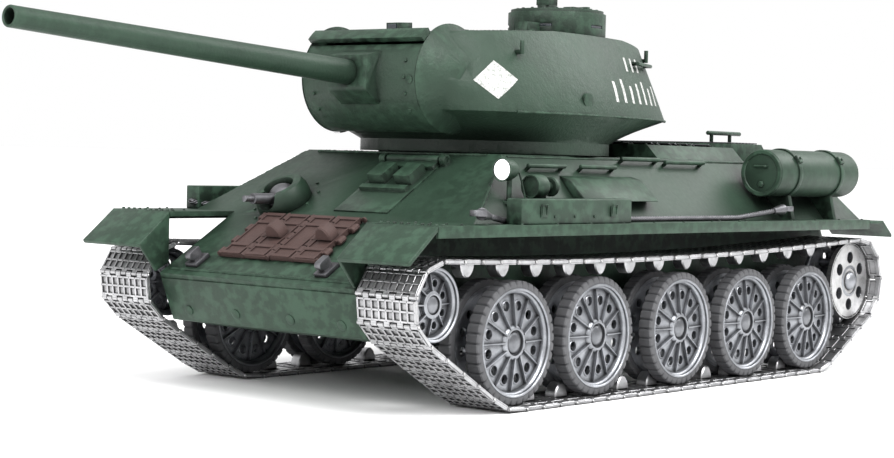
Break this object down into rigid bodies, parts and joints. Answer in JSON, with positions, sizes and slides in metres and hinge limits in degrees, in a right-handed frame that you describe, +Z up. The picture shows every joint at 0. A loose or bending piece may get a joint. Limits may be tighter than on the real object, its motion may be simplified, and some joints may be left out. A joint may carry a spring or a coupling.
{
  "type": "rc tank",
  "caption": "Radio-controlled scale model tank with a turning turret, elevating gun, sprung twin road wheels, metal link tracks, opening hatches and a geared drive inside.",
  "frame": {"origin": "on the ground under the middle of the overall length, on the centre plane", "axes": "+X towards the gun, +Y to the tank's left, +Z up"},
  "size_m": [0.5073, 0.19, 0.1805],
  "materials": {
    "hull_paint": "satin olive green model paint with dark shading",
    "dark_plastic": "matt black plastic",
    "brown_track": "rust brown painted links",
    "track_metal": "bare bright cast metal with dark recesses",
    "wheel_metal": "satin bare metal",
    "tyre_rubber": "matt black rubber",
    "gear_steel": "machined",
    "motor_can": "plated can",
    "board_green": "lacquered circuit board",
    "battery_wrap": "shrink wrap",
    "button_plastic": "matt black plastic",
    "lamp_glass": "clear lens"
  },
  "bodies": {
    "hull": {"lower_hull": "hull_paint", "upper_hull": "hull_paint", "rear_plate": "hull_paint", "exhaust_pipes": "dark_plastic", "engine_deck": "hull_paint", "mudguards": "hull_paint", "bow_gun_housing": "hull_paint", "spare_track": "brown_track", "tow_gear": "dark_plastic", "grab_rails": "hull_paint", "stowage_boxes": "hull_paint", "fuel_drums": "hull_paint", "lamp_and_horn": "hull_paint", "battery_door": "hull_paint", "battery": "battery_wrap", "control_board": "board_green", "speaker": "dark_plastic", "gearboxes": "gear_steel", "motors": "motor_can", "track_pins": "gear_steel", "track_left": "track_metal", "track_right": "track_metal"},
    "turret": {"turret_shell": "hull_paint", "turret_ring": "dark_plastic", "cupola": "hull_paint", "turret_fittings": "hull_paint"},
    "mantlet": {"mantlet": "hull_paint"},
    "barrel": {"barrel": "hull_paint"},
    "driver_hatch": {"driver_hatch": "hull_paint"},
    "cupola_hatch": {"cupola_hatch": "hull_paint"},
    "loader_hatch": {"loader_hatch": "hull_paint"},
    "bow_gun": {"bow_gun": "hull_paint"},
    "power_switch": {"power_switch": "button_plastic"},
    "turret_pinion": {"turret_pinion": "gear_steel"},
    "sprocket_left": {"sprocket_left": "wheel_metal"},
    "idler_left": {"idler_left": "wheel_metal"},
    "motor_pinion_left": {"motor_pinion_left": "gear_steel"},
    "swing_arm_left_1": {"swing_arm_left_1": "dark_plastic"},
    "road_wheel_left_1": {"road_wheel_left_1": "wheel_metal"},
    "swing_arm_left_2": {"swing_arm_left_2": "dark_plastic"},
    "road_wheel_left_2": {"road_wheel_left_2": "wheel_metal"},
    "swing_arm_left_3": {"swing_arm_left_3": "dark_plastic"},
    "road_wheel_left_3": {"road_wheel_left_3": "wheel_metal"},
    "swing_arm_left_4": {"swing_arm_left_4": "dark_plastic"},
    "road_wheel_left_4": {"road_wheel_left_4": "wheel_metal"},
    "swing_arm_left_5": {"swing_arm_left_5": "dark_plastic"},
    "road_wheel_left_5": {"road_wheel_left_5": "wheel_metal"},
    "sprocket_right": {"sprocket_right": "wheel_metal"},
    "idler_right": {"idler_right": "wheel_metal"},
    "motor_pinion_right": {"motor_pinion_right": "gear_steel"},
    "swing_arm_right_1": {"swing_arm_right_1": "dark_plastic"},
    "road_wheel_right_1": {"road_wheel_right_1": "wheel_metal"},
    "swing_arm_right_2": {"swing_arm_right_2": "dark_plastic"},
    "road_wheel_right_2": {"road_wheel_right_2": "wheel_metal"},
    "swing_arm_right_3": {"swing_arm_right_3": "dark_plastic"},
    "road_wheel_right_3": {"road_wheel_right_3": "wheel_metal"},
    "swing_arm_right_4": {"swing_arm_right_4": "dark_plastic"},
    "road_wheel_right_4": {"road_wheel_right_4": "wheel_metal"},
    "swing_arm_right_5": {"swing_arm_right_5": "dark_plastic"},
    "road_wheel_right_5": {"road_wheel_right_5": "wheel_metal"}
  },
  "joints": [
    {"name": "sprocket_left_spin", "type": "hinge", "parent": "hull", "child": "sprocket_left", "pos_m": [-0.22705, 0.0766, 0.045], "axis": [0, 1, 0], "continuous": true},
    {"name": "idler_left_spin", "type": "hinge", "parent": "hull", "child": "idler_left", "pos_m": [0.11195, 0.0766, 0.046], "axis": [0, 1, 0], "continuous": true},
    {"name": "motor_pinion_left_spin", "type": "hinge", "parent": "hull", "child": "motor_pinion_left", "pos_m": [-0.21085, 0.0425, 0.045], "axis": [0, 1, 0], "continuous": true},
    {"name": "swing_arm_left_1_pivot", "type": "hinge", "parent": "hull", "child": "swing_arm_left_1", "pos_m": [0.08265, 0.059, 0.0307], "axis": [0, 1, 0], "range_deg": [0, 12], "stiffness_Nm_per_rad": 0.35, "springref_deg": -20.05},
    {"name": "road_wheel_left_1_spin", "type": "hinge", "parent": "swing_arm_left_1", "child": "road_wheel_left_1", "pos_m": [0.05865, 0.0766, 0.0282], "axis": [0, 1, 0], "continuous": true},
    {"name": "swing_arm_left_2_pivot", "type": "hinge", "parent": "hull", "child": "swing_arm_left_2", "pos_m": [0.02415, 0.059, 0.0307], "axis": [0, 1, 0], "range_deg": [0, 12], "stiffness_Nm_per_rad": 0.35, "springref_deg": -20.05},
    {"name": "road_wheel_left_2_spin", "type": "hinge", "parent": "swing_arm_left_2", "child": "road_wheel_left_2", "pos_m": [0.00015, 0.0766, 0.0282], "axis": [0, 1, 0], "continuous": true},
    {"name": "swing_arm_left_3_pivot", "type": "hinge", "parent": "hull", "child": "swing_arm_left_3", "pos_m": [-0.04125, 0.059, 0.0307], "axis": [0, 1, 0], "range_deg": [0, 12], "stiffness_Nm_per_rad": 0.35, "springref_deg": -20.05},
    {"name": "road_wheel_left_3_spin", "type": "hinge", "parent": "swing_arm_left_3", "child": "road_wheel_left_3", "pos_m": [-0.06525, 0.0766, 0.0282], "axis": [0, 1, 0], "continuous": true},
    {"name": "swing_arm_left_4_pivot", "type": "hinge", "parent": "hull", "child": "swing_arm_left_4", "pos_m": [-0.09975, 0.059, 0.0307], "axis": [0, 1, 0], "range_deg": [0, 12], "stiffness_Nm_per_rad": 0.35, "springref_deg": -20.05},
    {"name": "road_wheel_left_4_spin", "type": "hinge", "parent": "swing_arm_left_4", "child": "road_wheel_left_4", "pos_m": [-0.12375, 0.0766, 0.0282], "axis": [0, 1, 0], "continuous": true},
    {"name": "swing_arm_left_5_pivot", "type": "hinge", "parent": "hull", "child": "swing_arm_left_5", "pos_m": [-0.15825, 0.059, 0.0307], "axis": [0, 1, 0], "range_deg": [0, 12], "stiffness_Nm_per_rad": 0.35, "springref_deg": -20.05},
    {"name": "road_wheel_left_5_spin", "type": "hinge", "parent": "swing_arm_left_5", "child": "road_wheel_left_5", "pos_m": [-0.18225, 0.0766, 0.0282], "axis": [0, 1, 0], "continuous": true},
    {"name": "sprocket_right_spin", "type": "hinge", "parent": "hull", "child": "sprocket_right", "pos_m": [-0.22705, -0.0766, 0.045], "axis": [0, 1, 0], "continuous": true},
    {"name": "idler_right_spin", "type": "hinge", "parent": "hull", "child": "idler_right", "pos_m": [0.11195, -0.0766, 0.046], "axis": [0, 1, 0], "continuous": true},
    {"name": "motor_pinion_right_spin", "type": "hinge", "parent": "hull", "child": "motor_pinion_right", "pos_m": [-0.21085, -0.0425, 0.045], "axis": [0, 1, 0], "continuous": true},
    {"name": "swing_arm_right_1_pivot", "type": "hinge", "parent": "hull", "child": "swing_arm_right_1", "pos_m": [0.08265, -0.059, 0.0307], "axis": [0, 1, 0], "range_deg": [0, 12], "stiffness_Nm_per_rad": 0.35, "springref_deg": -20.05},
    {"name": "road_wheel_right_1_spin", "type": "hinge", "parent": "swing_arm_right_1", "child": "road_wheel_right_1", "pos_m": [0.05865, -0.0766, 0.0282], "axis": [0, 1, 0], "continuous": true},
    {"name": "swing_arm_right_2_pivot", "type": "hinge", "parent": "hull", "child": "swing_arm_right_2", "pos_m": [0.02415, -0.059, 0.0307], "axis": [0, 1, 0], "range_deg": [0, 12], "stiffness_Nm_per_rad": 0.35, "springref_deg": -20.05},
    {"name": "road_wheel_right_2_spin", "type": "hinge", "parent": "swing_arm_right_2", "child": "road_wheel_right_2", "pos_m": [0.00015, -0.0766, 0.0282], "axis": [0, 1, 0], "continuous": true},
    {"name": "swing_arm_right_3_pivot", "type": "hinge", "parent": "hull", "child": "swing_arm_right_3", "pos_m": [-0.04125, -0.059, 0.0307], "axis": [0, 1, 0], "range_deg": [0, 12], "stiffness_Nm_per_rad": 0.35, "springref_deg": -20.05},
    {"name": "road_wheel_right_3_spin", "type": "hinge", "parent": "swing_arm_right_3", "child": "road_wheel_right_3", "pos_m": [-0.06525, -0.0766, 0.0282], "axis": [0, 1, 0], "continuous": true},
    {"name": "swing_arm_right_4_pivot", "type": "hinge", "parent": "hull", "child": "swing_arm_right_4", "pos_m": [-0.09975, -0.059, 0.0307], "axis": [0, 1, 0], "range_deg": [0, 12], "stiffness_Nm_per_rad": 0.35, "springref_deg": -20.05},
    {"name": "road_wheel_right_4_spin", "type": "hinge", "parent": "swing_arm_right_4", "child": "road_wheel_right_4", "pos_m": [-0.12375, -0.0766, 0.0282], "axis": [0, 1, 0], "continuous": true},
    {"name": "swing_arm_right_5_pivot", "type": "hinge", "parent": "hull", "child": "swing_arm_right_5", "pos_m": [-0.15825, -0.059, 0.0307], "axis": [0, 1, 0], "range_deg": [0, 12], "stiffness_Nm_per_rad": 0.35, "springref_deg": -20.05},
    {"name": "road_wheel_right_5_spin", "type": "hinge", "parent": "swing_arm_right_5", "child": "road_wheel_right_5", "pos_m": [-0.18225, -0.0766, 0.0282], "axis": [0, 1, 0], "continuous": true},
    {"name": "turret_turn", "type": "hinge", "parent": "hull", "child": "turret", "pos_m": [-0.02505, 0, 0.106], "axis": [0, 0, 1], "continuous": true},
    {"name": "turret_pinion_turn", "type": "hinge", "parent": "hull", "child": "turret_pinion", "pos_m": [-0.07905, 0, 0.0965], "axis": [0, 0, 1], "continuous": true},
    {"name": "gun_elevation", "type": "hinge", "parent": "turret", "child": "mantlet", "pos_m": [0.04145, 0, 0.138], "axis": [0, -1, 0], "range_deg": [-8, 10]},
    {"name": "barrel_recoil", "type": "slide", "parent": "mantlet", "child": "barrel", "axis": [0.998, 0, 0.0628], "range_m": [-0.008, 0], "stiffness_N_per_m": 150, "springref_m": 0.003},
    {"name": "driver_hatch_hinge", "type": "hinge", "parent": "hull", "child": "driver_hatch", "pos_m": [0.04372, 0.0158, 0.10299], "axis": [0, -1, 0], "range_deg": [0, 50]},
    {"name": "cupola_hatch_hinge", "type": "hinge", "parent": "turret", "child": "cupola_hatch", "pos_m": [-0.06655, 0.022, 0.1763], "axis": [0, -1, 0], "range_deg": [0, 100]},
    {"name": "loader_hatch_hinge", "type": "hinge", "parent": "turret", "child": "loader_hatch", "pos_m": [-0.03195, -0.024, 0.1642], "axis": [0, 1, 0], "range_deg": [0, 100]},
    {"name": "bow_gun_swivel", "type": "hinge", "parent": "hull", "child": "bow_gun", "pos_m": [0.07488, -0.0332, 0.08378], "axis": [0, 0, 1], "range_deg": [-8, 8]},
    {"name": "power_switch_slide", "type": "slide", "parent": "hull", "child": "power_switch", "axis": [-1, 0, 0], "range_m": [0, 0.004]}
  ],
  "couplings": [
    {"joint": "idler_left_spin", "follows": "sprocket_left_spin", "ratio": 1.2945},
    {"joint": "motor_pinion_left_spin", "follows": "sprocket_left_spin", "ratio": -2},
    {"joint": "road_wheel_left_1_spin", "follows": "sprocket_left_spin", "ratio": 0.7757},
    {"joint": "road_wheel_left_2_spin", "follows": "sprocket_left_spin", "ratio": 0.7757},
    {"joint": "road_wheel_left_3_spin", "follows": "sprocket_left_spin", "ratio": 0.7757},
    {"joint": "road_wheel_left_4_spin", "follows": "sprocket_left_spin", "ratio": 0.7757},
    {"joint": "road_wheel_left_5_spin", "follows": "sprocket_left_spin", "ratio": 0.7757},
    {"joint": "idler_right_spin", "follows": "sprocket_right_spin", "ratio": 1.2945},
    {"joint": "motor_pinion_right_spin", "follows": "sprocket_right_spin", "ratio": -2},
    {"joint": "road_wheel_right_1_spin", "follows": "sprocket_right_spin", "ratio": 0.7757},
    {"joint": "road_wheel_right_2_spin", "follows": "sprocket_right_spin", "ratio": 0.7757},
    {"joint": "road_wheel_right_3_spin", "follows": "sprocket_right_spin", "ratio": 0.7757},
    {"joint": "road_wheel_right_4_spin", "follows": "sprocket_right_spin", "ratio": 0.7757},
    {"joint": "road_wheel_right_5_spin", "follows": "sprocket_right_spin", "ratio": 0.7757},
    {"joint": "turret_pinion_turn", "follows": "turret_turn", "ratio": -5}
  ]
}
